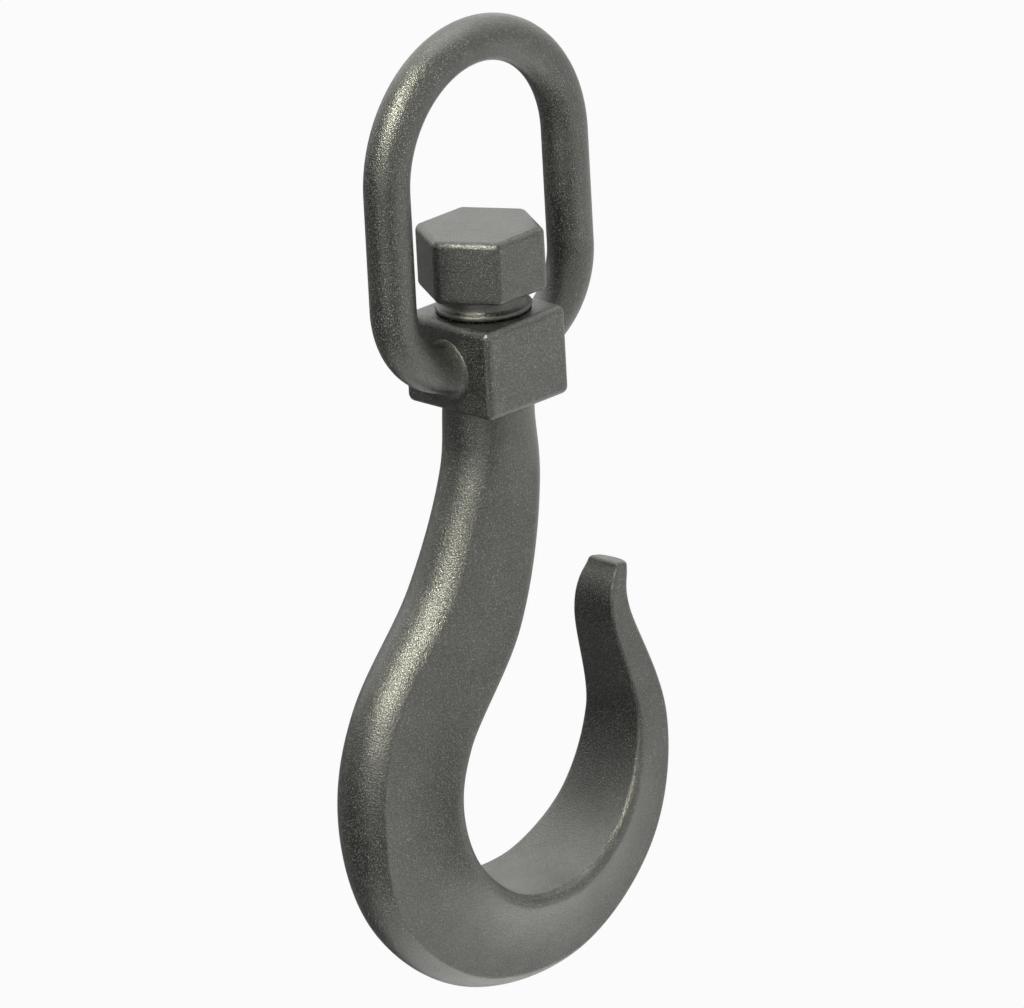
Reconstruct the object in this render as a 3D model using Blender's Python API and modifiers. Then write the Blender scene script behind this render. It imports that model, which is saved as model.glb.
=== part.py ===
"""Swivel hook for a meat rail: a bail on a square block, and a forged hook that turns in the block.

Metres, +Z up. The origin is the inside crown of the bail, the point that the object hangs from, so
all of it is below the origin apart from the bail's own bar. The bail and the hook both lie in the
plane Y = 0, and the hook's tip is on the +X side.
"""

import math

import bmesh
import bpy
from mathutils import Matrix, Vector

MM = 0.001
GAP = 0.3 * MM  # left between solids that touch

# Bail: round bar bent to an arch with straight legs, whose ends turn in to the block.
BAR_RADIUS = 6.25 * MM
ARCH_RADIUS = 34.0 * MM  # to the bar's centreline
BEND_RADIUS = 22.0 * MM  # of the turn from leg to block
BEND_X = ARCH_RADIUS - BEND_RADIUS  # where the turn's centre is, on either side
BEND_BELOW = 1.0 * MM  # depth of the centreline's lowest point below the block's centre
ARCH_CENTRE_Z = BAR_RADIUS - ARCH_RADIUS

# Block: its centre is BLOCK_DROP below the crown. All heights below are taken from that centre.
BLOCK_DROP = 80.5 * MM
BLOCK_WIDTH = 30.5 * MM  # along X, between the ends of the bail
BLOCK_DEPTH = 31.5 * MM
BLOCK_TOP = 12.0 * MM
BLOCK_BOTTOM = -12.8 * MM
BLOCK_EDGE = 2.2 * MM
SOCKET_DEPTH = 2.0 * MM  # how far the bail's ends go into the block
BEAD_WIDTH = 2.0 * MM

# The stem of the hook, and what it turns in.
STEM_RADIUS = 7.0 * MM
BUSH_RADIUS = 9.0 * MM
BEARING_RADIUS = 12.4 * MM
BALL_RADIUS = 1.5 * MM
BALL_COUNT = 12
BALL_CIRCLE_RADIUS = 9.85 * MM
RACE_THICKNESS = 1.3 * MM
RACE_TO_BALL_CENTRE = 1.15 * MM
CAGE_THICKNESS = 0.8 * MM
BALL_Z = BLOCK_TOP - RACE_THICKNESS - RACE_TO_BALL_CENTRE
LOWER_RACE_BOTTOM = BALL_Z - RACE_TO_BALL_CENTRE - RACE_THICKNESS
COUNTERBORE_FLOOR = LOWER_RACE_BOTTOM - GAP
SEAL_RADIUS = 11.2 * MM
SEAL_WIRE_RADIUS = 0.6 * MM

# Collar and nut above the block.
COLLAR_RADIUS = 13.0 * MM
COLLAR_BOTTOM = BLOCK_TOP + GAP
COLLAR_HEIGHT = 5.2 * MM
COLLAR_TOP_RADIUS = 12.2 * MM
COLLAR_LIP = 1.2 * MM  # rounding under the collar's widest part
NUT_BOTTOM = COLLAR_BOTTOM + COLLAR_HEIGHT + GAP
NUT_HEIGHT = 17.6 * MM
NUT_ACROSS_FLATS = 31.0 * MM
NUT_EDGE = 1.6 * MM
NUT_BORE_DEPTH = 13.0 * MM
PIN_RADIUS = 1.5 * MM
PIN_Z = NUT_BOTTOM + 8.0 * MM
PIN_REACH = 3.5 * MM  # from the stem's axis to the pin's inner end

# Thread on the stem, as rings of its real pitch.
THREAD_PITCH = 2.0 * MM
THREAD_DEPTH = 0.8 * MM
THREAD_RINGS = 5

# Hook: sections of the forging from the neck to the tip.
NECK_TOP = BLOCK_BOTTOM - GAP
NECK_RADIUS = 12.25 * MM
HOOK_SECTIONS = (
    # centre x, centre z, depth in the hook's plane, half widths of the saddle side and of the back,
    # in millimetres
    (0.0, NECK_TOP / MM, 24.5, 12.25, 12.25),
    (-3.0, -34.5, 25.5, 14.5, 8.0),
    (-18.0, -66.5, 26.0, 15.5, 9.0),
    (-40.5, -93.5, 27.0, 16.5, 8.5),
    (-46.5, -117.5, 27.5, 16.5, 9.0),
    (-39.0, -142.0, 28.5, 17.0, 8.0),
    (-16.5, -159.5, 28.0, 17.0, 9.0),
    (14.0, -160.5, 26.5, 16.0, 9.5),
    (38.5, -143.0, 21.5, 13.5, 10.5),
    (47.5, -114.5, 15.0, 10.5, 10.5),
    (40.0, -83.5, 10.0, 7.5, 7.5),
    (42.5, -71.5, 6.0, 5.5, 5.5),
)
SADDLE_CORNER = 2.5 * MM
BACK_EDGE = 1.5 * MM
CROWN_ANGLE = math.radians(45)  # that the crowned back turns through, from its middle to its edge
LEAST_SHARE = 0.3  # of a thin section's depth that the crown or the back's edge may take up
CORNER_SHARE = 0.11  # of a thin section's depth that the saddle's corner may take up
HOLLOW = 0.76  # of the bowl's cheeks: 0 for flat ones, 1 for ones that start out level at the back
HOLLOW_SPAN = (1.8, 3.2)  # sections over which the cheeks turn hollow
LEVEL_SPAN = (0.0, 1.0)  # sections over which the rings tilt from level to square to the curve
NECK_SPAN = (0.0, 2.2)  # sections over which the round neck turns into a wedge
TIP_ROUNDING = 1.2 * MM
RINGS_PER_SECTION = 6
CROWN_STEPS = 3
EDGE_STEPS = 2
CHEEK_STEPS = 4
CORNER_STEPS = 4

ROUND_STEPS = 40  # sides of a turned piece


def clear_scene():
    for obj in list(bpy.data.objects):
        bpy.data.objects.remove(obj)


def make_collection(name):
    collection = bpy.data.collections.new(name)
    bpy.context.scene.collection.children.link(collection)
    return collection


def make_material(name, colour, roughness, metallic):
    material = bpy.data.materials.new(name)
    material.use_nodes = True
    shader = material.node_tree.nodes["Principled BSDF"]
    shader.inputs["Base Color"].default_value = (*colour, 1.0)
    shader.inputs["Roughness"].default_value = roughness
    shader.inputs["Metallic"].default_value = metallic
    return material


def add_empty(name, collection):
    """An empty on the swivel axis, at the height of the block's centre."""
    empty = bpy.data.objects.new(name, None)
    empty.location = (0.0, 0.0, -BLOCK_DROP)
    collection.objects.link(empty)
    return empty


def add_object(mesh, parent, material):
    """The visible object of a mesh, with the mesh's own name."""
    obj = bpy.data.objects.new(mesh.name, mesh)
    parent.users_collection[0].objects.link(obj)
    obj.parent = parent
    mesh.materials.append(material)
    mesh.shade_smooth()
    mesh.set_sharp_from_angle(angle=math.radians(35))
    return obj


def mesh_from(bm, name):
    mesh = bpy.data.meshes.new(name)
    bm.to_mesh(mesh)
    bm.free()
    return mesh


def turned_mesh(name, profile, steps=ROUND_STEPS):
    """The solid of a closed (radius, z) profile turned about Z. Its outer side runs downwards."""
    mesh = bpy.data.meshes.new(name)
    points = [(radius, 0.0, z) for radius, z in profile]
    edges = [(i, (i + 1) % len(points)) for i in range(len(points))]
    mesh.from_pydata(points, edges, [])
    helper = bpy.data.objects.new(name, mesh)
    bpy.context.scene.collection.objects.link(helper)
    screw = helper.modifiers.new("turn", "SCREW")
    screw.steps = steps
    screw.render_steps = steps
    screw.use_merge_vertices = True
    screw.merge_threshold = 0.00001
    graph = bpy.context.evaluated_depsgraph_get()
    turned = bpy.data.meshes.new_from_object(helper.evaluated_get(graph))
    bpy.data.objects.remove(helper)
    bpy.data.meshes.remove(mesh)
    turned.name = name
    return turned


def ring_profile(inner, outer, bottom, top):
    """A flat ring's section."""
    return [(outer, top), (outer, bottom), (inner, bottom), (inner, top)]


def cylinders_mesh(name, radius, length, places=((0.0, 0.0, 0.0),), steps=ROUND_STEPS):
    """Equal upright cylinders at the given places, as one mesh."""
    bm = bmesh.new()
    for place in places:
        made = bmesh.ops.create_cone(
            bm, cap_ends=True, segments=steps, radius1=radius, radius2=radius, depth=length
        )
        bmesh.ops.translate(bm, verts=made["verts"], vec=place)
    return mesh_from(bm, name)


def box_mesh(name, size, middle):
    """A box on the swivel axis, with its middle at a height."""
    bm = bmesh.new()
    bmesh.ops.create_cube(bm, size=1.0)
    bmesh.ops.scale(bm, vec=size, verts=bm.verts)
    bmesh.ops.translate(bm, vec=(0.0, 0.0, middle), verts=bm.verts)
    return mesh_from(bm, name)


def bevel(obj, width):
    modifier = obj.modifiers.new("edges", "BEVEL")
    modifier.width = width
    modifier.segments = 2
    modifier.limit_method = "ANGLE"


def add_cutter(mesh, parent, cutters, location=(0.0, 0.0, 0.0), rotation=(0.0, 0.0, 0.0)):
    cutter = bpy.data.objects.new(f"cut_{mesh.name}", mesh)
    cutters.objects.link(cutter)
    cutter.parent = parent
    cutter.location = location
    cutter.rotation_euler = rotation
    cutter.hide_render = True
    cutter.display_type = "WIRE"
    return cutter


def cut(obj, cutter):
    boolean = obj.modifiers.new(cutter.name, "BOOLEAN")
    boolean.operation = "DIFFERENCE"
    boolean.object = cutter


def arc(centre, radius, start, end, steps):
    """Points on an arc about (first, second), from one angle to another."""
    angles = [start + (end - start) * i / steps for i in range(steps + 1)]
    return [(centre[0] + radius * math.cos(a), centre[1] + radius * math.sin(a)) for a in angles]


def mix(first, second, weight):
    return first + (second - first) * weight


def smooth_step(value, start, end):
    """0 up to start, 1 from end, and a smooth rise between them."""
    part = min(max((value - start) / (end - start), 0.0), 1.0)
    return part * part * (3 - 2 * part)


def bail_route():
    """The bail's centreline, (x, z), from its right end over the arch to its left.

    The bar is level inside its socket, and bends up from the block's face.
    """
    end_x = BLOCK_WIDTH / 2 - SOCKET_DEPTH + GAP
    start_angle = math.asin((BLOCK_WIDTH / 2 - BEND_X) / BEND_RADIUS) - math.pi / 2
    bend_centre = (BEND_X, BEND_RADIUS - BEND_BELOW - BLOCK_DROP)
    bend = arc(bend_centre, BEND_RADIUS, start_angle, 0.0, 10)
    right_bend = [(end_x, bend[0][1])] + bend
    arch = arc((0.0, ARCH_CENTRE_Z), ARCH_RADIUS, 0.0, math.pi, 24)
    return right_bend + arch + [(-x, z) for x, z in reversed(right_bend)]


def bar_height(x):
    """Height of the bail's centreline from the block's centre, beside the block."""
    return BEND_RADIUS - BEND_BELOW - math.sqrt(BEND_RADIUS**2 - (x - BEND_X) ** 2)


def make_bail(collection, material):
    curve = bpy.data.curves.new("bail", "CURVE")
    curve.dimensions = "3D"
    curve.bevel_depth = BAR_RADIUS
    curve.bevel_resolution = 4
    curve.use_fill_caps = True
    route = bail_route()
    spline = curve.splines.new("POLY")
    spline.points.add(len(route) - 1)
    for point, (x, z) in zip(spline.points, route):
        point.co = (x, 0.0, z, 1.0)
    curve.materials.append(material)
    collection.objects.link(bpy.data.objects.new("bail", curve))


def make_weld_bead(side, sign, parent, material):
    """The fillet round one end of the bail, which follows the bar as it starts to bend."""
    inner = BAR_RADIUS + 2 * GAP  # with room for the bar's slope
    reach = BEAD_WIDTH + GAP
    fillet = arc((inner + reach, GAP + reach), BEAD_WIDTH, -math.pi, -math.pi / 2, 4)
    profile = [(inner, GAP + reach)] + fillet + [(inner + reach, GAP), (inner, GAP)]
    mesh = turned_mesh(f"weld_bead_{side}", profile, 32)
    for vertex in mesh.vertices:
        x, y, out = vertex.co
        distance = BLOCK_WIDTH / 2 + out
        vertex.co = (sign * distance, y, bar_height(distance) - sign * x)
    add_object(mesh, parent, material)


def make_block(parent, cutters, material):
    height = BLOCK_TOP - BLOCK_BOTTOM
    middle = (BLOCK_TOP + BLOCK_BOTTOM) / 2
    mesh = box_mesh("swivel_block", (BLOCK_WIDTH, BLOCK_DEPTH, height), middle)
    block = add_object(mesh, parent, material)
    bevel(block, BLOCK_EDGE)
    bore = cylinders_mesh("bore", BUSH_RADIUS + GAP, 2 * height)
    cut(block, add_cutter(bore, parent, cutters))
    counterbore = cylinders_mesh("counterbore", BEARING_RADIUS + GAP, height)
    above_floor = (0.0, 0.0, COUNTERBORE_FLOOR + height / 2)
    cut(block, add_cutter(counterbore, parent, cutters, above_floor))
    half = SEAL_WIRE_RADIUS + GAP
    inner, outer = SEAL_RADIUS - half, SEAL_RADIUS + half
    groove = ring_profile(inner, outer, 2 * BLOCK_BOTTOM, 2 * half + BLOCK_BOTTOM)
    cut(block, add_cutter(turned_mesh("seal_groove", groove), parent, cutters))
    for sign in (-1, 1):
        socket = cylinders_mesh("socket", BAR_RADIUS + GAP, 2 * SOCKET_DEPTH)
        place = (sign * BLOCK_WIDTH / 2, 0.0, bar_height(BLOCK_WIDTH / 2))
        cut(block, add_cutter(socket, parent, cutters, place, (0.0, math.pi / 2, 0.0)))


def make_bush(parent, material):
    profile = ring_profile(STEM_RADIUS + GAP, BUSH_RADIUS, BLOCK_BOTTOM + GAP, COUNTERBORE_FLOOR)
    add_object(turned_mesh("block_bush", profile), parent, material)


def make_dust_seal(parent, material):
    centre = (SEAL_RADIUS, BLOCK_BOTTOM + SEAL_WIRE_RADIUS + GAP)
    section = arc(centre, SEAL_WIRE_RADIUS, math.pi / 2, -1.5 * math.pi, 8)[:-1]
    add_object(turned_mesh("dust_seal", section), parent, material)


def ball_groove(direction):
    """A race's groove, (radius, z), from its inner edge outwards. The lower race's direction is -1."""
    radius = BALL_RADIUS + GAP
    upright = direction * math.pi / 2
    half_angle = direction * math.acos(RACE_TO_BALL_CENTRE / radius)
    centre = (BALL_CIRCLE_RADIUS, BALL_Z)
    return arc(centre, radius, upright + half_angle, upright - half_angle, 6)


def make_races(root, hook_pivot, material):
    inner = STEM_RADIUS + GAP
    lower_face = BALL_Z - RACE_TO_BALL_CENTRE
    upper_face = BALL_Z + RACE_TO_BALL_CENTRE
    lower = [(BEARING_RADIUS, lower_face), (BEARING_RADIUS, LOWER_RACE_BOTTOM)]
    lower += [(inner, LOWER_RACE_BOTTOM), (inner, lower_face)] + ball_groove(-1)
    add_object(turned_mesh("lower_race", lower), root, material)
    upper = [(BEARING_RADIUS, BLOCK_TOP), (BEARING_RADIUS, upper_face)] + ball_groove(1)[::-1]
    upper += [(inner, upper_face), (inner, BLOCK_TOP)]
    add_object(turned_mesh("upper_race", upper), hook_pivot, material)


def make_cage_and_balls(parent, cutters, brass, steel):
    angles = [2 * math.pi * i / BALL_COUNT for i in range(BALL_COUNT)]
    circle = BALL_CIRCLE_RADIUS
    places = [(circle * math.cos(a), circle * math.sin(a), BALL_Z) for a in angles]
    half = CAGE_THICKNESS / 2
    profile = ring_profile(STEM_RADIUS + GAP, BEARING_RADIUS, BALL_Z - half, BALL_Z + half)
    cage = add_object(turned_mesh("ball_cage", profile), parent, brass)
    holes = cylinders_mesh("ball_pockets", BALL_RADIUS + GAP, 4 * half, places, 16)
    cut(cage, add_cutter(holes, parent, cutters))
    for number, place in enumerate(places, 1):
        bm = bmesh.new()
        bmesh.ops.create_uvsphere(bm, u_segments=12, v_segments=8, radius=BALL_RADIUS)
        ball = add_object(mesh_from(bm, f"thrust_ball_{number:02d}"), parent, steel)
        ball.location = place


def make_collar(parent, material):
    """A ring that flares a little towards its rounded lip, just above the block."""
    top = COLLAR_BOTTOM + COLLAR_HEIGHT
    inner = STEM_RADIUS + GAP
    lip_centre = (COLLAR_RADIUS - COLLAR_LIP, COLLAR_BOTTOM + COLLAR_LIP)
    lip = arc(lip_centre, COLLAR_LIP, math.radians(15), math.radians(-90), 4)
    profile = [(COLLAR_TOP_RADIUS, top)] + lip + [(inner, COLLAR_BOTTOM), (inner, top)]
    add_object(turned_mesh("bearing_collar", profile), parent, material)


def make_nut(parent, cutters, material):
    """A closed hexagon nut with two of its flats square to Y, bored from below for the stem."""
    mesh = cylinders_mesh("hex_nut", NUT_ACROSS_FLATS / math.sqrt(3), NUT_HEIGHT, steps=6)
    mesh.transform(Matrix.Rotation(math.radians(30), 4, "Z"))
    mesh.transform(Matrix.Translation((0.0, 0.0, NUT_BOTTOM + NUT_HEIGHT / 2)))
    nut = add_object(mesh, parent, material)
    bevel(nut, NUT_EDGE)
    bore = cylinders_mesh("nut_bore", STEM_RADIUS + GAP, 2 * NUT_BORE_DEPTH)
    cut(nut, add_cutter(bore, parent, cutters, (0.0, 0.0, NUT_BOTTOM)))
    return nut


def make_lock_pin(parent, cutters, material, nut, hook):
    """A blind cross pin through the nut's +Y flat into the stem."""
    length = NUT_ACROSS_FLATS / 2 - GAP - PIN_REACH
    middle = PIN_REACH + length / 2
    turn = (math.pi / 2, 0.0, 0.0)
    pin_mesh = cylinders_mesh("lock_pin", PIN_RADIUS, length, steps=16)
    pin = add_object(pin_mesh, parent, material)
    pin.location = (0.0, middle, PIN_Z)
    pin.rotation_euler = turn
    hole = cylinders_mesh("pin_hole", PIN_RADIUS + GAP, length + 4 * GAP, steps=16)
    cutter = add_cutter(hole, parent, cutters, (0.0, middle + GAP, PIN_Z), turn)
    cut(nut, cutter)
    cut(hook, cutter)


def between_sections(position):
    """(x, z, depth, saddle half width, back half width) at a position counted in sections."""
    last = len(HOOK_SECTIONS) - 1
    index = min(int(position), last - 1)
    part = position - index
    first, second = HOOK_SECTIONS[index], HOOK_SECTIONS[index + 1]
    before = HOOK_SECTIONS[index - 1] if index else beyond(first, second)
    after = HOOK_SECTIONS[index + 2] if index + 2 <= last else beyond(second, first)
    values = []
    for a, b, c, d in zip(before, first, second, after):
        terms = (2 * b, c - a, 2 * a - 5 * b + 4 * c - d, 3 * (b - c) + d - a)
        values.append(MM / 2 * sum(term * part**power for power, term in enumerate(terms)))
    return values


def beyond(end, neighbour):
    """A section as far past the end as its neighbour is before it."""
    return [2 * a - b for a, b in zip(end, neighbour)]


def round_section(radius):
    """Half of a circle, (inward, half width), with as many points as wedge_section gives."""
    steps = (CROWN_STEPS, EDGE_STEPS, CHEEK_STEPS, CORNER_STEPS)
    spans = zip((0, 45, 55, 115), (45, 55, 115, 165), steps)
    degrees = [mix(start, end, i / count) for start, end, count in spans for i in range(count)]
    angles = [math.radians(a) for a in degrees + [165, 180]]
    return [(-radius * math.cos(a), radius * math.sin(a)) for a in angles]


def cheek_ends(edge_centre, edge, inner_point, corner, bow):
    """The cheek's end slopes, and its start and end, where it meets the back's edge and the corner."""
    start_slope = 0.0
    end_slope = 0.0
    for _ in range(5):
        start = edge_centre + edge * Vector((-math.sin(start_slope), math.cos(start_slope)))
        end = inner_point - corner * Vector((1 + math.sin(end_slope), 1 - math.cos(end_slope)))
        slope = (end.y - start.y) / (end.x - start.x)
        start_slope = math.atan(slope * bow)
        end_slope = math.atan(slope * (2 - bow))
    return start_slope, end_slope, start, end


def wedge_section(depth, inner, back, bow):
    """Half of a section, (inward, half width), from the middle of the back to that of the saddle.

    The back is a shallow arc with a rounded edge. The cheek runs from there to the rounded corner of
    the flat saddle, and bow is its slope at the back as a share of its mean slope.
    """
    rise = min(back * math.tan(CROWN_ANGLE / 2), LEAST_SHARE * depth)
    turn = 2 * math.atan(rise / back)
    edge = min(BACK_EDGE, LEAST_SHARE * depth)
    corner = min(SADDLE_CORNER, CORNER_SHARE * depth)
    crown = (back - edge * (1 - math.sin(turn))) / math.sin(turn)
    points = arc((crown - depth / 2, 0.0), crown, math.pi, math.pi - turn, CROWN_STEPS)
    edge_centre = Vector(points[-1]) + edge * Vector((math.cos(turn), -math.sin(turn)))
    inner_point = Vector((depth / 2, inner))
    first, last, start, end = cheek_ends(edge_centre, edge, inner_point, corner, bow)
    points += arc(edge_centre, edge, math.pi - turn, math.pi / 2 + first, EDGE_STEPS)[1:]
    for step in range(1, CHEEK_STEPS):
        part = step / CHEEK_STEPS
        points.append((mix(start.x, end.x, part), mix(start.y, end.y, mix(part**2, part, bow))))
    corner_centre = inner_point - Vector((corner, corner))
    points += arc(corner_centre, corner, math.pi / 2 + last, 0.0, CORNER_STEPS)
    return points + [(depth / 2, 0.0)]


def hook_section(position, inset=0.0):
    """Half of the forging's section at a position, drawn in by inset all round."""
    _, _, depth, inner, back = between_sections(position)
    bow = 1 - HOLLOW * smooth_step(position, *HOLLOW_SPAN)
    weight = smooth_step(position, *NECK_SPAN)
    points = []
    for (a, b), (c, d) in zip(round_section(NECK_RADIUS), wedge_section(depth, inner, back, bow)):
        inward = mix(a, c, weight) * (1 - 2 * inset / depth)
        points.append((inward, mix(b, d, weight) * (1 - inset / inner)))
    return points


def closed_ring(half_section, place):
    """Both mirrored halves of a section as one ring of points, each put where place says."""
    near = [place(inward, -width) for inward, width in half_section]
    far = [place(inward, width) for inward, width in half_section[-2:0:-1]]
    return near + far


def hook_ring(position, inset=0.0, advance=0.0):
    """The ring of points round the forging at a position, moved on along it by advance."""
    last = len(HOOK_SECTIONS) - 1
    before = Vector(between_sections(max(position - 0.01, 0.0))[:2])
    after = Vector(between_sections(min(position + 0.01, last))[:2])
    level = Vector((0.0, -1.0))
    along = level.lerp((after - before).normalized(), smooth_step(position, *LEVEL_SPAN))
    along.normalize()
    centre = Vector(between_sections(position)[:2]) + along * advance

    def place(inward, across):
        return Vector((centre.x - along.y * inward, across, centre.y + along.x * inward))

    return closed_ring(hook_section(position, inset), place)


def stem_ring(radius, z):
    return closed_ring(round_section(radius), lambda inward, across: Vector((inward, across, z)))


def stem_rings():
    """Rings down the stem from its chamfered top, over its thread and its plain part, to the neck."""
    top = NUT_BOTTOM + NUT_BORE_DEPTH - GAP
    root = STEM_RADIUS - THREAD_DEPTH
    profile = [(root, top)]
    for turn in range(THREAD_RINGS):
        crest = top - (turn + 0.5) * THREAD_PITCH
        profile += [(STEM_RADIUS, crest), (root, crest - THREAD_PITCH / 2)]
    profile += [(STEM_RADIUS, profile[-1][1] - THREAD_DEPTH), (STEM_RADIUS, NECK_TOP)]
    return [stem_ring(radius, z) for radius, z in profile]


def forging_rings():
    """Rings from the top of the neck to the rounded end of the tip."""
    last = len(HOOK_SECTIONS) - 1
    count = last * RINGS_PER_SECTION
    rings = [hook_ring(i / RINGS_PER_SECTION) for i in range(count + 1)]
    for angle in (math.pi / 4, math.pi / 2):
        inset = TIP_ROUNDING * (1 - math.cos(angle))
        rings.append(hook_ring(last, inset, TIP_ROUNDING * math.sin(angle)))
    return rings


def make_hook(parent, material):
    """The forging and its stem, one solid lofted through every ring from the stem's top to the tip."""
    bm = bmesh.new()
    rings = [[bm.verts.new(point) for point in ring] for ring in stem_rings() + forging_rings()]
    count = len(rings[0])
    for above, below in zip(rings, rings[1:]):
        for i in range(count):
            j = (i + 1) % count
            bm.faces.new((above[i], above[j], below[j], below[i]))
    bm.faces.new(rings[0])
    bm.faces.new(rings[-1])
    bmesh.ops.recalc_face_normals(bm, faces=bm.faces)
    return add_object(mesh_from(bm, "hook"), parent, material)


def main():
    clear_scene()
    parts = make_collection("meat_hook")
    cutters = make_collection("cutters")
    root = add_empty("block_centre", parts)
    cage_pivot = add_empty("cage_pivot", parts)
    hook_pivot = add_empty("hook_pivot", parts)

    cast = make_material("cast_steel", (0.13, 0.13, 0.115), 0.45, 0.9)
    steel = make_material("bearing_steel", (0.55, 0.56, 0.57), 0.25, 1.0)
    bronze = make_material("bronze", (0.45, 0.29, 0.12), 0.4, 1.0)
    brass = make_material("brass", (0.6, 0.46, 0.2), 0.35, 1.0)
    rubber = make_material("rubber", (0.02, 0.02, 0.02), 0.8, 0.0)

    make_bail(parts, cast)
    make_block(root, cutters, cast)
    for side, sign in (("left", -1), ("right", 1)):
        make_weld_bead(side, sign, root, cast)
    make_bush(root, bronze)
    make_dust_seal(root, rubber)
    make_races(root, hook_pivot, steel)
    make_cage_and_balls(cage_pivot, cutters, brass, steel)
    make_collar(hook_pivot, cast)
    hook = make_hook(hook_pivot, cast)
    nut = make_nut(hook_pivot, cutters, cast)
    make_lock_pin(hook_pivot, cutters, steel, nut, hook)


main()
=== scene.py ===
"""Looks of the swivel meat hook: fine meshes, materials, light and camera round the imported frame.

Metres, in the frame's own axes: the origin is the inside crown of the bail, and the bail and the hook
lie in the plane Y = 0. Heights in the hook's sections are taken from the datum, which is a level
BLOCK_TOP below the block's top.
"""

import math

import bmesh
import bpy
from mathutils import Matrix, Vector

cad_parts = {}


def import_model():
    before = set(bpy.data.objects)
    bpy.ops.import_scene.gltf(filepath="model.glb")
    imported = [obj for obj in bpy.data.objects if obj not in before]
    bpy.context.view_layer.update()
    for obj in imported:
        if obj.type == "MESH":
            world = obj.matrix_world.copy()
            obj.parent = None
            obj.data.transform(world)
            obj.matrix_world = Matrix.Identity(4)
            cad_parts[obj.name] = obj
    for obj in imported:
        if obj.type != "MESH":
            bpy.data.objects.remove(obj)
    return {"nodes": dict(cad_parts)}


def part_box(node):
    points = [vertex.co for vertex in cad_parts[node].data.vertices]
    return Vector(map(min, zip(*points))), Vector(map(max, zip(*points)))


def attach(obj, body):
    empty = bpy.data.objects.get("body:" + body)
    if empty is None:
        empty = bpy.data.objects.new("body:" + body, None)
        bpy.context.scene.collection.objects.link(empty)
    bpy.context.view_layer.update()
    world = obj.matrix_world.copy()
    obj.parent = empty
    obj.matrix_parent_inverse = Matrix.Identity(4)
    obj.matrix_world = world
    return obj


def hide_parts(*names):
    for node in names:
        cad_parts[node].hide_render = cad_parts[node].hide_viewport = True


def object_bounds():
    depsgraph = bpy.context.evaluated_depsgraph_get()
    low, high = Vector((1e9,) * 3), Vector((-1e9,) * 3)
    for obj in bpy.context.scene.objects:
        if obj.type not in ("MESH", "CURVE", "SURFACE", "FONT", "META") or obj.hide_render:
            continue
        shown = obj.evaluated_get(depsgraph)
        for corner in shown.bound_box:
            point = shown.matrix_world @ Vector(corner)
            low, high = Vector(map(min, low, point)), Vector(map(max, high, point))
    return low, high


MM = 0.001

# Bail and the fillets that join it to the block.
BEND_RADIUS = 22.0 * MM
BEND_BELOW = 1.0 * MM  # depth of the centreline's lowest point below the datum
SOCKET_DEPTH = 1.5 * MM
FILLET_REACH = 5.0 * MM  # along the bar
FILLET_HEIGHT = 1.9 * MM
WELD_SWELL = 0.6  # extra growth of the fillet where the weld was finished, on top of the bar
WELD_SWELL_WIDTH = 0.5  # radians round the bar
FINE_BEND = math.radians(16)  # stretch of the bend, from the socket, that has the fillet's fine rings
BAR_SIDES = 64
FINE_BEND_STEPS = 48
BEND_STEPS = 24
LEG_STEPS = 8
ARCH_STEPS = 72

# Block, collar, nut and pin.
BLOCK_TOP = 12.0 * MM  # above the datum
BLOCK_ROUNDING = 2.2 * MM
NUT_ROUNDING = 1.8 * MM
NUT_TURN = math.radians(30)  # that puts two of its flats square to Y
ROUNDING_STEPS = 6
COLLAR_LIP = 0.9 * MM  # rounding of the collar's widest part
COLLAR_LIP_HEIGHT = 0.9 * MM
COLLAR_LIP_TURN = math.radians(60)  # from the lip's widest point to where the flare begins
COLLAR_LIP_UNDERSIDE = math.radians(-75)  # where the lip's rounding ends
COLLAR_FLARE = 2.0 * MM  # radius of the hollow above the lip
LIP_STEPS = 12
FLARE_STEPS = 6
BORE_RADIUS = 9.3 * MM
COUNTERBORE_RADIUS = 12.7 * MM
STEM_BORE_RADIUS = 7.3 * MM
NUT_BORE_DEPTH = 13.0 * MM
CLEARANCE = 0.3 * MM
ROUND_STEPS = 96
SMOOTH_ANGLE = math.radians(35)  # edges sharper than this stay sharp
FLAT_WEIGHT = 90  # of large faces over small ones, in the normals that they share

# Stem and thread of the hook.
STEM_RADIUS = 7.0 * MM
THREAD_PITCH = 2.0 * MM
THREAD_DEPTH = 0.8 * MM
THREAD_RINGS = 5

# Hook: sections of the forging from the neck to the tip.
NECK_TOP = -13.1
NECK_RADIUS = 12.25 * MM
HOOK_SECTIONS = (
    # centre x, centre z, depth in the hook's plane, half widths of the saddle side and of the back,
    # in millimetres
    (0.0, NECK_TOP, 24.5, 12.25, 12.25),
    (-3.0, -34.5, 25.5, 14.5, 8.0),
    (-18.0, -66.5, 26.0, 15.5, 9.0),
    (-40.5, -93.5, 27.0, 16.5, 8.5),
    (-46.5, -117.5, 27.5, 16.5, 9.0),
    (-39.0, -142.0, 28.5, 17.0, 8.0),
    (-16.5, -159.5, 28.0, 17.0, 9.0),
    (14.0, -160.5, 26.5, 16.0, 9.5),
    (38.5, -143.0, 21.5, 13.5, 10.5),
    (47.5, -114.5, 15.0, 10.5, 10.5),
    (40.0, -83.5, 10.0, 7.5, 7.5),
    (42.5, -71.5, 6.0, 5.5, 5.5),
)
SADDLE_CORNER = 2.5 * MM
BACK_EDGE = 1.5 * MM
CROWN_ANGLE = math.radians(45)  # that the crowned back turns through, from its middle to its edge
LEAST_SHARE = 0.3  # of a thin section's depth that the crown or the back's edge may take up
CORNER_SHARE = 0.11  # of a thin section's depth that the saddle's corner may take up
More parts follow.
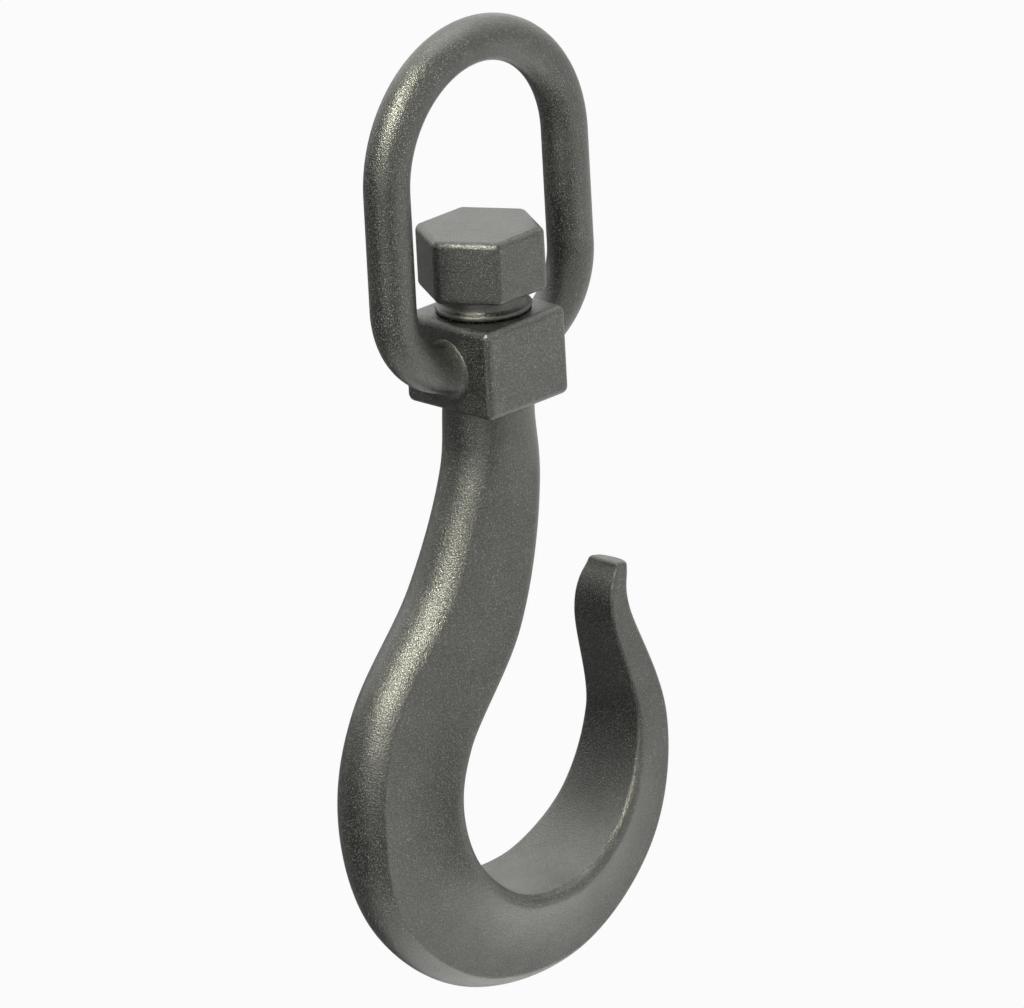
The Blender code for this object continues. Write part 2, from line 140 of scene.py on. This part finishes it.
HOLLOW = 0.76  # of the bowl's cheeks: 0 for flat ones, 1 for ones that start out level at the back
HOLLOW_SPAN = (1.8, 3.2)  # sections over which the cheeks turn hollow
LEVEL_SPAN = (0.0, 1.0)  # sections over which the rings tilt from level to square to the curve
NECK_SPAN = (0.0, 2.2)  # sections over which the round neck turns into a wedge
TIP_ROUNDING = 1.2 * MM
TIP_STEPS = 6
RINGS_PER_SECTION = 18
CROWN_STEPS = 9
EDGE_STEPS = 6
CHEEK_STEPS = 10
CORNER_STEPS = 8
ROUND_SPANS = ((0, 45), (45, 55), (55, 115), (115, 165))  # degrees of a round ring, one for each part
CHEEK_ROUNDS = 5  # of settling the cheek's slopes and its ends on each other
TANGENT_STEP = 0.01  # sections

# Cast surface. Its grain has a range of roughness and of tone, from the hollows to the crests.
GRAIN_SIZE = 0.4 * MM
GRAIN_DEPTH = 0.17 * MM
GRAIN_GLOSS = (0.28, 0.40)
GRAIN_TONE = (0.8, 1.25)
SPARKLE_SIZE = 0.3 * MM
SPARKLE_RANGE = (0.64, 0.74)  # heights of the sparkle's noise at which it starts and is full
SPARKLE_TONE = 2.3  # brightness of a sparkling crest, as a multiple of the rest
SPARKLE_HEIGHT = 0.1 * MM
SPARKLE_ROUGHNESS = 0.35  # on top of the grain's
PATCH_SIZE = 9.0 * MM
SKIN_SIZE = 2.5 * MM
SKIN_DEPTH = 0.03 * MM
TOOL_MARK_PITCH = 1.2 * MM  # on the turned pieces
NOISE_SPAN = (0.3, 0.7)  # that most of a noise texture's values lie in

# Camera: where it stands round the object, its tilt, and what its frame takes in.
CAMERA_AZIMUTH = math.radians(45.4)
CAMERA_ELEVATION = math.radians(19.2)
CAMERA_ROLL = math.radians(3.1)
CAMERA_TARGET = Vector((2.4, -4.2, -123.2)) * MM
VIEW_WIDTH = 271.4 * MM
LENS = 1200.0
SENSOR = 36.0

# Light. The softboxes and the key face the hook's middle, LIGHT_AIM below the origin.
PAPER_TONE = 0.965  # of the floor and the backdrop, as the camera sees them
LIGHT_AIM = 0.13
LIGHT_DISTANCE = 1.2
SOFTBOX_SIZE = 0.9
KEY_DIRECTION = (80.0, 50.0)  # azimuth and elevation, degrees
KEY_SIZE = 0.35
KEY_POWER = 15.0
KEY_COLOUR = (1.0, 1.0, 0.86)

FLOOR_DROP = 0.3
FLOOR_SIZE = 30.0


def mix(first, second, weight):
    return first + (second - first) * weight


def smooth_step(value, start, end):
    """0 up to start, 1 from end, and a smooth rise between them."""
    part = min(max((value - start) / (end - start), 0.0), 1.0)
    return part * part * (3 - 2 * part)


def arc(centre, radius, start, end, steps):
    """Points on an arc about (first, second), from one angle to another."""
    angles = [start + (end - start) * i / steps for i in range(steps + 1)]
    return [(centre[0] + radius * math.cos(a), centre[1] + radius * math.sin(a)) for a in angles]


# ---------------------------------------------------------------- mesh helpers


def shade(mesh):
    mesh.shade_smooth()
    mesh.set_sharp_from_angle(angle=SMOOTH_ANGLE)


def add_piece(name, bm, material, body, slot, *nodes):
    """A finished piece with its material, the body it rides on and the nodes that it stands for."""
    mesh = bpy.data.meshes.new(name)
    bm.to_mesh(mesh)
    bm.free()
    shade(mesh)
    mesh.materials.append(material)
    piece = bpy.data.objects.new(name, mesh)
    bpy.context.scene.collection.objects.link(piece)
    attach(piece, body)
    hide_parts(*nodes)
    return piece


def loft(bm, rings):
    """Faces between closed rings of equally many points, and a flat cap on each end."""
    rows = [[bm.verts.new(point) for point in ring] for ring in rings]
    count = len(rows[0])
    for first, second in zip(rows, rows[1:]):
        for i in range(count):
            j = (i + 1) % count
            bm.faces.new((first[i], first[j], second[j], second[i]))
    bm.faces.new(rows[0])
    bm.faces.new(rows[-1])
    bmesh.ops.recalc_face_normals(bm, faces=bm.faces)


def turned(bm, profile):
    """A closed (radius, z) profile turned about the swivel axis."""
    rows = []
    for i in range(ROUND_STEPS):
        angle = 2 * math.pi * i / ROUND_STEPS
        c, s = math.cos(angle), math.sin(angle)
        rows.append([bm.verts.new((radius * c, radius * s, z)) for radius, z in profile])
    count = len(profile)
    for first, second in zip(rows, rows[1:] + rows[:1]):
        for i in range(count):
            j = (i + 1) % count
            bm.faces.new((first[i], second[i], second[j], first[j]))
    bmesh.ops.recalc_face_normals(bm, faces=bm.faces)


def round_edges(bm, radius):
    bmesh.ops.bevel(
        bm,
        geom=bm.edges[:],
        offset=radius,
        segments=ROUNDING_STEPS,
        profile=0.5,
        affect="EDGES",
        clamp_overlap=True,
    )


def keep_flats_flat(piece):
    modifier = piece.modifiers.new("flat normals", "WEIGHTED_NORMAL")
    modifier.keep_sharp = True
    modifier.weight = FLAT_WEIGHT


def cut_away(piece, bm):
    """Takes the solid in bm out of a piece."""
    mesh = bpy.data.meshes.new("cutter")
    bm.to_mesh(mesh)
    bm.free()
    cutter = bpy.data.objects.new("cutter", mesh)
    bpy.context.scene.collection.objects.link(cutter)
    modifier = piece.modifiers.new("cut", "BOOLEAN")
    modifier.object = cutter
    graph = bpy.context.evaluated_depsgraph_get()
    cut_mesh = bpy.data.meshes.new_from_object(piece.evaluated_get(graph))
    piece.modifiers.remove(modifier)
    cut_mesh.name = piece.data.name
    piece.data = cut_mesh
    shade(cut_mesh)
    bpy.data.objects.remove(cutter)


def bore(piece, radius, start, end):
    """Cuts a round hole whose axis runs from start to end."""
    axis = Vector(end) - Vector(start)
    bm = bmesh.new()
    bmesh.ops.create_cone(
        bm, cap_ends=True, segments=ROUND_STEPS, radius1=radius, radius2=radius, depth=axis.length
    )
    middle = Matrix.Translation((Vector(start) + Vector(end)) / 2)
    turn = axis.to_track_quat("Z", "Y").to_matrix().to_4x4()
    bmesh.ops.transform(bm, matrix=middle @ turn, verts=bm.verts)
    cut_away(piece, bm)


# ---------------------------------------------------------------- materials


def new_material(name, metallic, roughness):
    material = bpy.data.materials.new(name)
    material.use_nodes = True
    tree = material.node_tree
    shader = tree.nodes["Principled BSDF"]
    shader.inputs["Metallic"].default_value = metallic
    shader.inputs["Roughness"].default_value = roughness
    place = tree.nodes.new("ShaderNodeTexCoord").outputs["Object"]
    return material, tree, shader, place


def noise(tree, place, size, detail=2.0, roughness=0.5):
    """Noise whose features are about size across."""
    node = tree.nodes.new("ShaderNodeTexNoise")
    node.inputs["Scale"].default_value = 1.0 / size
    node.inputs["Detail"].default_value = detail
    node.inputs["Roughness"].default_value = roughness
    tree.links.new(place, node.inputs["Vector"])
    return node.outputs["Fac"]


def ramp(tree, value, stops):
    """A colour ramp over value. stops are (position, colour)."""
    node = tree.nodes.new("ShaderNodeValToRGB")
    while len(node.color_ramp.elements) < len(stops):
        node.color_ramp.elements.new(0.5)
    for element, (position, colour) in zip(node.color_ramp.elements, stops):
        element.position = position
        element.color = (*colour, 1.0)
    tree.links.new(value, node.inputs["Fac"])
    return node.outputs["Color"]


def remap(tree, value, source, target):
    """Maps value from one range to another, held at both ends."""
    node = tree.nodes.new("ShaderNodeMapRange")
    node.inputs["From Min"].default_value = source[0]
    node.inputs["From Max"].default_value = source[1]
    node.inputs["To Min"].default_value = target[0]
    node.inputs["To Max"].default_value = target[1]
    tree.links.new(value, node.inputs["Value"])
    return node.outputs["Result"]


def spread(tree, value, low, high):
    """Maps a noise's usual span onto low to high."""
    return remap(tree, value, NOISE_SPAN, (low, high))


def bump(tree, height, depth, under=None):
    """Bump of a height from 0 to 1, depth deep, over another bump's normal."""
    node = tree.nodes.new("ShaderNodeBump")
    node.inputs["Distance"].default_value = depth
    tree.links.new(height, node.inputs["Height"])
    if under is not None:
        tree.links.new(under, node.inputs["Normal"])
    return node.outputs["Normal"]


def added(tree, first, second):
    """The sum of two values."""
    node = tree.nodes.new("ShaderNodeMath")
    node.operation = "ADD"
    tree.links.new(first, node.inputs[0])
    tree.links.new(second, node.inputs[1])
    return node.outputs["Value"]


def toned(tree, colour, tone):
    """A colour made lighter or darker by a tone."""
    node = tree.nodes.new("ShaderNodeVectorMath")
    node.operation = "SCALE"
    tree.links.new(colour, node.inputs[0])
    tree.links.new(tone, node.inputs["Scale"])
    return node.outputs["Vector"]


def cast_steel():
    """Dark blasted casting: sandy grain, sparse sparkling crests and a faint olive tone."""
    material, tree, shader, place = new_material("cast_steel", 1.0, 0.38)
    grain = noise(tree, place, GRAIN_SIZE, 1.0, 0.6)
    crests = noise(tree, place, SPARKLE_SIZE, 0.0)
    patches = noise(tree, place, PATCH_SIZE, 3.0)
    colour = ramp(tree, patches, [(0.3, (0.125, 0.125, 0.116)), (0.7, (0.142, 0.142, 0.131))])
    colour = toned(tree, colour, spread(tree, grain, *GRAIN_TONE))
    crests = remap(tree, crests, SPARKLE_RANGE, (0.0, 1.0))
    colour = toned(tree, colour, remap(tree, crests, (0.0, 1.0), (1.0, SPARKLE_TONE)))
    tree.links.new(colour, shader.inputs["Base Color"])
    rough_crests = remap(tree, crests, (0.0, 1.0), (0.0, SPARKLE_ROUGHNESS))
    roughness = added(tree, spread(tree, grain, *GRAIN_GLOSS), rough_crests)
    tree.links.new(roughness, shader.inputs["Roughness"])
    skin = bump(tree, noise(tree, place, SKIN_SIZE, 2.0), SKIN_DEPTH)
    sand = bump(tree, grain, GRAIN_DEPTH, skin)
    tree.links.new(bump(tree, crests, SPARKLE_HEIGHT, sand), shader.inputs["Normal"])
    return material


def turned_metal(name, dark, light, roughness, groove_depth):
    """Machined metal with fine rings round the swivel axis and a little tarnish."""
    material, tree, shader, place = new_material(name, 1.0, roughness)
    colour = ramp(tree, noise(tree, place, 2.0 * MM, 4.0), [(0.3, dark), (0.7, light)])
    tree.links.new(colour, shader.inputs["Base Color"])
    waves = tree.nodes.new("ShaderNodeTexWave")
    waves.wave_type = "RINGS"
    waves.rings_direction = "Z"
    waves.inputs["Scale"].default_value = 1.0 / TOOL_MARK_PITCH
    waves.inputs["Distortion"].default_value = 0.3
    tree.links.new(place, waves.inputs["Vector"])
    gloss = spread(tree, noise(tree, place, 0.8 * MM, 3.0), roughness - 0.08, roughness + 0.1)
    tree.links.new(gloss, shader.inputs["Roughness"])
    tree.links.new(bump(tree, waves.outputs["Fac"], groove_depth), shader.inputs["Normal"])
    return material


def seal_rubber():
    material, tree, shader, place = new_material("rubber", 0.0, 0.65)
    colour = ramp(tree, noise(tree, place, 1.5 * MM, 3.0), [(0.3, (0.012,) * 3), (0.7, (0.03,) * 3)])
    tree.links.new(colour, shader.inputs["Base Color"])
    gloss = spread(tree, noise(tree, place, 0.5 * MM), 0.55, 0.8)
    tree.links.new(gloss, shader.inputs["Roughness"])
    tree.links.new(bump(tree, noise(tree, place, 0.3 * MM), 0.02 * MM), shader.inputs["Normal"])
    return material


def floor_paint():
    """An even pale tone that no shadow falls on."""
    material, _, shader, _ = new_material("pale_floor", 0.0, 0.9)
    shader.inputs["Base Color"].default_value = (0.0, 0.0, 0.0, 1.0)
    shader.inputs["Specular IOR Level"].default_value = 0.0
    shader.inputs["Emission Color"].default_value = (1.0, 1.0, 1.0, 1.0)
    shader.inputs["Emission Strength"].default_value = PAPER_TONE
    return material


# ---------------------------------------------------------------- bail


def bail_route(bar_radius, arch_radius, drop, half_block):
    """The bail's centreline, (x, z), from its right end over the arch to its left."""
    bend_centre = (arch_radius - BEND_RADIUS, BEND_RADIUS - BEND_BELOW - drop)
    start = math.asin((half_block - SOCKET_DEPTH - bend_centre[0]) / BEND_RADIUS) - math.pi / 2
    clear = start + FINE_BEND
    bend = arc(bend_centre, BEND_RADIUS, start, clear, FINE_BEND_STEPS)
    bend += arc(bend_centre, BEND_RADIUS, clear, 0.0, BEND_STEPS)[1:]
    arch_centre = (0.0, bar_radius - arch_radius)
    heights = [mix(bend[-1][1], arch_centre[1], i / LEG_STEPS) for i in range(1, LEG_STEPS)]
    leg = [(arch_radius, height) for height in heights]
    arch = arc(arch_centre, arch_radius, 0.0, math.pi, ARCH_STEPS)
    return bend + leg + arch + [(-x, z) for x, z in reversed(bend + leg)]


def fillet_growth(distance, angle):
    """How far the bar's surface stands out, at a distance from the block and an angle round the bar.

    The angle is taken from the bar's underside.
    """
    swell = 1 + WELD_SWELL * math.exp(-(((angle - math.pi) / WELD_SWELL_WIDTH) ** 2))
    inside = min(max(1 - distance / (FILLET_REACH * swell), 0.0), 1.0)
    return FILLET_HEIGHT * swell * (1 - math.sqrt(1 - inside**2))


def bail_ring(before, centre, after, bar_radius, half_block, joined):
    """A ring round the bar, square to the way from before to after."""
    along = (Vector(after) - Vector(before)).normalized()
    out = Vector((along.y, -along.x))
    ring = []
    for side in range(BAR_SIDES):
        angle = 2 * math.pi * side / BAR_SIDES
        reach = bar_radius
        if joined:
            distance = abs(centre[0] + out.x * reach * math.cos(angle)) - half_block
            reach += fillet_growth(distance, angle)
        x, z = Vector(centre) + out * reach * math.cos(angle)
        ring.append((x, reach * math.sin(angle), z))
    return ring


def make_bail(material):
    """The round bar and the weld fillets at its ends, in one piece."""
    low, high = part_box("bail")
    _, block_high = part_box("swivel_block")
    bar_radius = (high.y - low.y) / 2
    arch_radius = (high.x - low.x) / 2 - bar_radius
    drop = BLOCK_TOP - block_high.z
    route = bail_route(bar_radius, arch_radius, drop, block_high.x)
    rings = []
    for before, centre, after in zip(route[:1] + route, route, route[1:] + route[-1:]):
        joined = centre[1] < -drop / 2
        rings.append(bail_ring(before, centre, after, bar_radius, block_high.x, joined))
    bm = bmesh.new()
    loft(bm, rings)
    stands_for = ("bail", "weld_bead_left", "weld_bead_right")
    return add_piece("forged_bail", bm, material, "bail_block", "cast_steel", *stands_for)


# ---------------------------------------------------------------- block, collar and nut


def make_block(material):
    low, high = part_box("swivel_block")
    centre = (low + high) / 2
    floor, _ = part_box("lower_race")
    bm = bmesh.new()
    bmesh.ops.create_cube(bm, size=1.0)
    bmesh.ops.scale(bm, vec=high - low, verts=bm.verts)
    bmesh.ops.translate(bm, vec=centre, verts=bm.verts)
    round_edges(bm, BLOCK_ROUNDING)
    block = add_piece("cast_block", bm, material, "bail_block", "cast_steel", "swivel_block")
    below = (0.0, 0.0, low.z - MM)
    above = (0.0, 0.0, high.z + MM)
    bore(block, BORE_RADIUS, below, above)
    bore(block, COUNTERBORE_RADIUS, (0.0, 0.0, floor.z - CLEARANCE), above)
    cut_seal_groove(block, low.z)
    keep_flats_flat(block)
    return block


def cut_seal_groove(block, underside):
    low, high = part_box("dust_seal")
    wire = high.z - low.z
    outer = high.x + CLEARANCE
    inner = high.x - wire - CLEARANCE
    top = high.z + CLEARANCE
    groove = bmesh.new()
    turned(groove, [(inner, underside - MM), (outer, underside - MM), (outer, top), (inner, top)])
    cut_away(block, groove)


def make_collar(material):
    """A ring with a straight waist under the nut that flares to a rounded lip above the block."""
    low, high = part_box("bearing_collar")
    lip_x, lip_z = high.x - COLLAR_LIP, low.z + COLLAR_LIP_HEIGHT
    reach = COLLAR_FLARE + COLLAR_LIP
    hollow = (lip_x + reach * math.cos(COLLAR_LIP_TURN), lip_z + reach * math.sin(COLLAR_LIP_TURN))
    flare = arc(hollow, COLLAR_FLARE, math.pi, math.pi + COLLAR_LIP_TURN, FLARE_STEPS)
    lip = arc((lip_x, lip_z), COLLAR_LIP, COLLAR_LIP_TURN, COLLAR_LIP_UNDERSIDE, LIP_STEPS)
    waist = flare[0][0]
    profile = [(STEM_BORE_RADIUS, high.z), (waist, high.z)] + flare + lip[1:]
    profile += [(waist, low.z), (STEM_BORE_RADIUS, low.z)]
    bm = bmesh.new()
    turned(bm, profile)
    return add_piece("turned_collar", bm, material, "hook", "cast_steel", "bearing_collar")


def make_nut(material):
    low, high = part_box("hex_nut")
    corner_radius = (high.y - low.y) / math.sqrt(3)
    height = high.z - low.z
    bm = bmesh.new()
    bmesh.ops.create_cone(
        bm, cap_ends=True, segments=6, radius1=corner_radius, radius2=corner_radius, depth=height
    )
    middle = Matrix.Translation((0.0, 0.0, low.z + height / 2))
    bmesh.ops.transform(bm, matrix=middle @ Matrix.Rotation(NUT_TURN, 4, "Z"), verts=bm.verts)
    round_edges(bm, NUT_ROUNDING)
    nut = add_piece("closed_nut", bm, material, "hook", "cast_steel", "hex_nut")
    bore(nut, STEM_BORE_RADIUS, (0.0, 0.0, low.z - MM), (0.0, 0.0, low.z + NUT_BORE_DEPTH))
    cut_pin_hole(nut)
    keep_flats_flat(nut)
    return nut


def cut_pin_hole(piece):
    low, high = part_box("lock_pin")
    radius = (high.x - low.x) / 2 + CLEARANCE
    height = (low.z + high.z) / 2
    bore(piece, radius, (0.0, low.y - CLEARANCE, height), (0.0, high.y + MM, height))


# ---------------------------------------------------------------- hook


def between_sections(position):
    """(x, z, depth, saddle half width, back half width) at a position counted in sections."""
    last = len(HOOK_SECTIONS) - 1
    index = min(int(position), last - 1)
    part = position - index
    first, second = HOOK_SECTIONS[index], HOOK_SECTIONS[index + 1]
    before = HOOK_SECTIONS[index - 1] if index else beyond(first, second)
    after = HOOK_SECTIONS[index + 2] if index + 2 <= last else beyond(second, first)
    values = []
    for a, b, c, d in zip(before, first, second, after):
        terms = (2 * b, c - a, 2 * a - 5 * b + 4 * c - d, 3 * (b - c) + d - a)
        values.append(MM / 2 * sum(term * part**power for power, term in enumerate(terms)))
    return values


def beyond(end, neighbour):
    """A section as far past the end as its neighbour is before it."""
    return [2 * a - b for a, b in zip(end, neighbour)]


def round_section(radius):
    """Half of a circle, (inward, half width), with as many points as wedge_section gives."""
    degrees = []
    for (start, end), count in zip(ROUND_SPANS, (CROWN_STEPS, EDGE_STEPS, CHEEK_STEPS, CORNER_STEPS)):
        degrees += [mix(start, end, i / count) for i in range(count)]
    angles = [math.radians(a) for a in degrees + [ROUND_SPANS[-1][1], 180]]
    return [(-radius * math.cos(a), radius * math.sin(a)) for a in angles]


def cheek_ends(edge_centre, edge, inner_point, corner, bow):
    """The cheek's end slopes, and its start and end, where it meets the back's edge and the corner."""
    start_slope = 0.0
    end_slope = 0.0
    for _ in range(CHEEK_ROUNDS):
        start = edge_centre + edge * Vector((-math.sin(start_slope), math.cos(start_slope)))
        end = inner_point - corner * Vector((1 + math.sin(end_slope), 1 - math.cos(end_slope)))
        slope = (end.y - start.y) / (end.x - start.x)
        start_slope = math.atan(slope * bow)
        end_slope = math.atan(slope * (2 - bow))
    return start_slope, end_slope, start, end


def wedge_section(depth, inner, back, bow):
    """Half of a section, (inward, half width), from the middle of the back to that of the saddle.

    The back is a shallow arc with a rounded edge. The cheek runs from there to the rounded corner of
    the flat saddle, and bow is its slope at the back as a share of its mean slope.
    """
    rise = min(back * math.tan(CROWN_ANGLE / 2), LEAST_SHARE * depth)
    turn = 2 * math.atan(rise / back)
    edge = min(BACK_EDGE, LEAST_SHARE * depth)
    corner = min(SADDLE_CORNER, CORNER_SHARE * depth)
    crown = (back - edge * (1 - math.sin(turn))) / math.sin(turn)
    points = arc((crown - depth / 2, 0.0), crown, math.pi, math.pi - turn, CROWN_STEPS)
    edge_centre = Vector(points[-1]) + edge * Vector((math.cos(turn), -math.sin(turn)))
    inner_point = Vector((depth / 2, inner))
    first, last, start, end = cheek_ends(edge_centre, edge, inner_point, corner, bow)
    points += arc(edge_centre, edge, math.pi - turn, math.pi / 2 + first, EDGE_STEPS)[1:]
    for step in range(1, CHEEK_STEPS):
        part = step / CHEEK_STEPS
        points.append((mix(start.x, end.x, part), mix(start.y, end.y, mix(part**2, part, bow))))
    corner_centre = inner_point - Vector((corner, corner))
    points += arc(corner_centre, corner, math.pi / 2 + last, 0.0, CORNER_STEPS)
    return points + [(depth / 2, 0.0)]


def hook_section(position, inset=0.0):
    """Half of the forging's section at a position, drawn in by inset all round."""
    _, _, depth, inner, back = between_sections(position)
    bow = 1 - HOLLOW * smooth_step(position, *HOLLOW_SPAN)
    weight = smooth_step(position, *NECK_SPAN)
    points = []
    for (a, b), (c, d) in zip(round_section(NECK_RADIUS), wedge_section(depth, inner, back, bow)):
        inward = mix(a, c, weight) * (1 - 2 * inset / depth)
        points.append((inward, mix(b, d, weight) * (1 - inset / inner)))
    return points


def closed_ring(half_section, place):
    """Both mirrored halves of a section as one ring of points, each put where place says."""
    near = [place(inward, -width) for inward, width in half_section]
    far = [place(inward, width) for inward, width in half_section[-2:0:-1]]
    return near + far


def hook_ring(position, centre_z, inset=0.0, advance=0.0):
    """The ring of points round the forging at a position, moved on along it by advance."""
    last = len(HOOK_SECTIONS) - 1
    before = Vector(between_sections(max(position - TANGENT_STEP, 0.0))[:2])
    after = Vector(between_sections(min(position + TANGENT_STEP, last))[:2])
    level = Vector((0.0, -1.0))
    along = level.lerp((after - before).normalized(), smooth_step(position, *LEVEL_SPAN))
    along.normalize()
    centre = Vector(between_sections(position)[:2]) + Vector((0.0, centre_z)) + along * advance

    def place(inward, across):
        return Vector((centre.x - along.y * inward, across, centre.y + along.x * inward))

    return closed_ring(hook_section(position, inset), place)


def stem_ring(radius, z):
    return closed_ring(round_section(radius), lambda inward, across: Vector((inward, across, z)))


def stem_rings(top, centre_z):
    """Rings down the stem from its chamfered top, over its thread and its plain part, to the neck."""
    root = STEM_RADIUS - THREAD_DEPTH
    profile = [(root, top)]
    for turn in range(THREAD_RINGS):
        crest = top - (turn + 0.5) * THREAD_PITCH
        profile += [(STEM_RADIUS, crest), (root, crest - THREAD_PITCH / 2)]
    profile += [(STEM_RADIUS, profile[-1][1] - THREAD_DEPTH)]
    profile += [(STEM_RADIUS, NECK_TOP * MM + centre_z)]
    return [stem_ring(radius, z) for radius, z in profile]


def make_hook(material):
    """The forging and its threaded stem, lofted through every ring from the stem's top to the tip."""
    _, block_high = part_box("swivel_block")
    centre_z = block_high.z - BLOCK_TOP
    _, stem_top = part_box("hook")
    last = len(HOOK_SECTIONS) - 1
    rings = stem_rings(stem_top.z, centre_z)
    rings += [hook_ring(i / RINGS_PER_SECTION, centre_z) for i in range(last * RINGS_PER_SECTION + 1)]
    for step in range(1, TIP_STEPS + 1):
        angle = math.pi / 2 * step / TIP_STEPS
        inset = TIP_ROUNDING * (1 - math.cos(angle))
        rings.append(hook_ring(last, centre_z, inset, TIP_ROUNDING * math.sin(angle)))
    bm = bmesh.new()
    loft(bm, rings)
    hook = add_piece("forged_hook", bm, material, "hook", "cast_steel", "hook")
    cut_pin_hole(hook)
    return hook


# ---------------------------------------------------------------- inner pieces


def dress_inner_pieces(frame):
    """Gives the carried-over CAD pieces of the bearing their finishes."""
    steel = turned_metal("bearing_steel", (0.50, 0.51, 0.52), (0.62, 0.63, 0.64), 0.22, 0.004 * MM)
    bronze = turned_metal("bronze", (0.36, 0.22, 0.09), (0.50, 0.32, 0.14), 0.38, 0.008 * MM)
    brass = turned_metal("brass", (0.52, 0.39, 0.16), (0.66, 0.51, 0.24), 0.33, 0.006 * MM)
    rubber = seal_rubber()
    finishes = {"block_bush": bronze, "ball_cage": brass, "dust_seal": rubber}
    for name, node in frame["nodes"].items():
        node.data.materials.clear()
        node.data.materials.append(finishes.get(name, steel))


# ---------------------------------------------------------------- studio


def add_camera():
    """A long-lens camera: round the object by its azimuth, up by its elevation, and rolled."""
    sin_a, cos_a = math.sin(CAMERA_AZIMUTH), math.cos(CAMERA_AZIMUTH)
    sin_e, cos_e = math.sin(CAMERA_ELEVATION), math.cos(CAMERA_ELEVATION)
    right = Vector((cos_a, -sin_a, 0.0))
    up = Vector((sin_a * sin_e, cos_a * sin_e, cos_e))
    back = Vector((-sin_a * cos_e, -cos_a * cos_e, sin_e))
    rolled_right = right * math.cos(CAMERA_ROLL) - up * math.sin(CAMERA_ROLL)
    rolled_up = right * math.sin(CAMERA_ROLL) + up * math.cos(CAMERA_ROLL)
    data = bpy.data.cameras.new("camera")
    data.lens = LENS
    data.sensor_width = SENSOR
    distance = VIEW_WIDTH * LENS / SENSOR
    data.clip_start = 0.1
    data.clip_end = 2 * distance
    camera = bpy.data.objects.new("camera", data)
    bpy.context.scene.collection.objects.link(camera)
    turn = Matrix((rolled_right, rolled_up, back)).transposed()
    camera.matrix_world = Matrix.Translation(CAMERA_TARGET + back * distance) @ turn.to_4x4()
    bpy.context.scene.camera = camera


def add_floor(low):
    bm = bmesh.new()
    bmesh.ops.create_grid(bm, x_segments=1, y_segments=1, size=FLOOR_SIZE / 2)
    mesh = bpy.data.meshes.new("floor")
    bm.to_mesh(mesh)
    bm.free()
    mesh.materials.append(floor_paint())
    floor = bpy.data.objects.new("floor", mesh)
    floor.location.z = low.z - FLOOR_DROP
    floor.visible_diffuse = False
    floor.visible_glossy = False
    bpy.context.scene.collection.objects.link(floor)


def add_light(name, azimuth, elevation, size, power, colour=(1.0, 1.0, 1.0)):
    """A square soft light. Azimuth 0 is on the -Y side, 90 on the -X side."""
    a, e = math.radians(azimuth), math.radians(elevation)
    toward = Vector((-math.sin(a) * math.cos(e), -math.cos(a) * math.cos(e), math.sin(e)))
    data = bpy.data.lights.new(name, "AREA")
    data.shape = "SQUARE"
    data.size = size
    data.energy = power
    data.color = colour
    light = bpy.data.objects.new(name, data)
    light.location = Vector((0.0, 0.0, -LIGHT_AIM)) + toward * LIGHT_DISTANCE
    light.rotation_euler = toward.to_track_quat("Z", "Y").to_euler()
    light.visible_camera = False
    bpy.context.scene.collection.objects.link(light)
    return light


def add_world():
    """A dark surrounding, which the camera alone sees as the same pale tone as the floor."""
    world = bpy.data.worlds.new("studio")
    bpy.context.scene.world = world
    world.use_nodes = True
    tree = world.node_tree
    tree.nodes.clear()
    seen = tree.nodes.new("ShaderNodeBackground")
    seen.inputs["Color"].default_value = (PAPER_TONE, PAPER_TONE, PAPER_TONE, 1.0)
    dark = tree.nodes.new("ShaderNodeBackground")
    dark.inputs["Color"].default_value = (0.0, 0.0, 0.0, 1.0)
    path = tree.nodes.new("ShaderNodeLightPath")
    choose = tree.nodes.new("ShaderNodeMixShader")
    out = tree.nodes.new("ShaderNodeOutputWorld")
    tree.links.new(path.outputs["Is Camera Ray"], choose.inputs["Fac"])
    tree.links.new(dark.outputs[0], choose.inputs[1])
    tree.links.new(seen.outputs[0], choose.inputs[2])
    tree.links.new(choose.outputs[0], out.inputs["Surface"])


def add_bank(name, azimuths, elevation, power):
    """Equal softboxes side by side, as one curved bank."""
    for azimuth in azimuths:
        add_light(f"{name}_{azimuth}", azimuth, elevation, SOFTBOX_SIZE, power)


def add_studio(low):
    """A dark studio with its light mostly on the right, and a small warm key high on the left."""
    add_camera()
    add_floor(low)
    add_world()
    add_light("key", *KEY_DIRECTION, KEY_SIZE, KEY_POWER, KEY_COLOUR)
    add_bank("front", (-72, -36, 0, 36), 22, 1.7)
    add_bank("left", (72, 108, 144), 22, 1.0)
    add_bank("left", (72,), 0, 2.6)
    add_bank("right", (-180, -144, -108, -72), 22, 3.0)
    add_bank("high_right", (-180, -120, -60), 65, 3.7)
    add_bank("low_right", (-108, -72, -36, 0), -22, 2.1)
    add_bank("low_back", (144, 180, -144, -108), -22, 0.4)
    add_bank("under_front", (0, 60, 120), -65, 1.6)
    add_bank("under_right", (-120, -60), -65, 3.5)
    bpy.context.scene.view_settings.view_transform = "Standard"


def main():
    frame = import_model()
    cad_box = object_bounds()
    cast = cast_steel()
    dress_inner_pieces(frame)
    make_bail(cast)
    make_block(cast)
    make_collar(cast)
    make_nut(cast)
    make_hook(cast)
    add_studio(cad_box[0])


main()
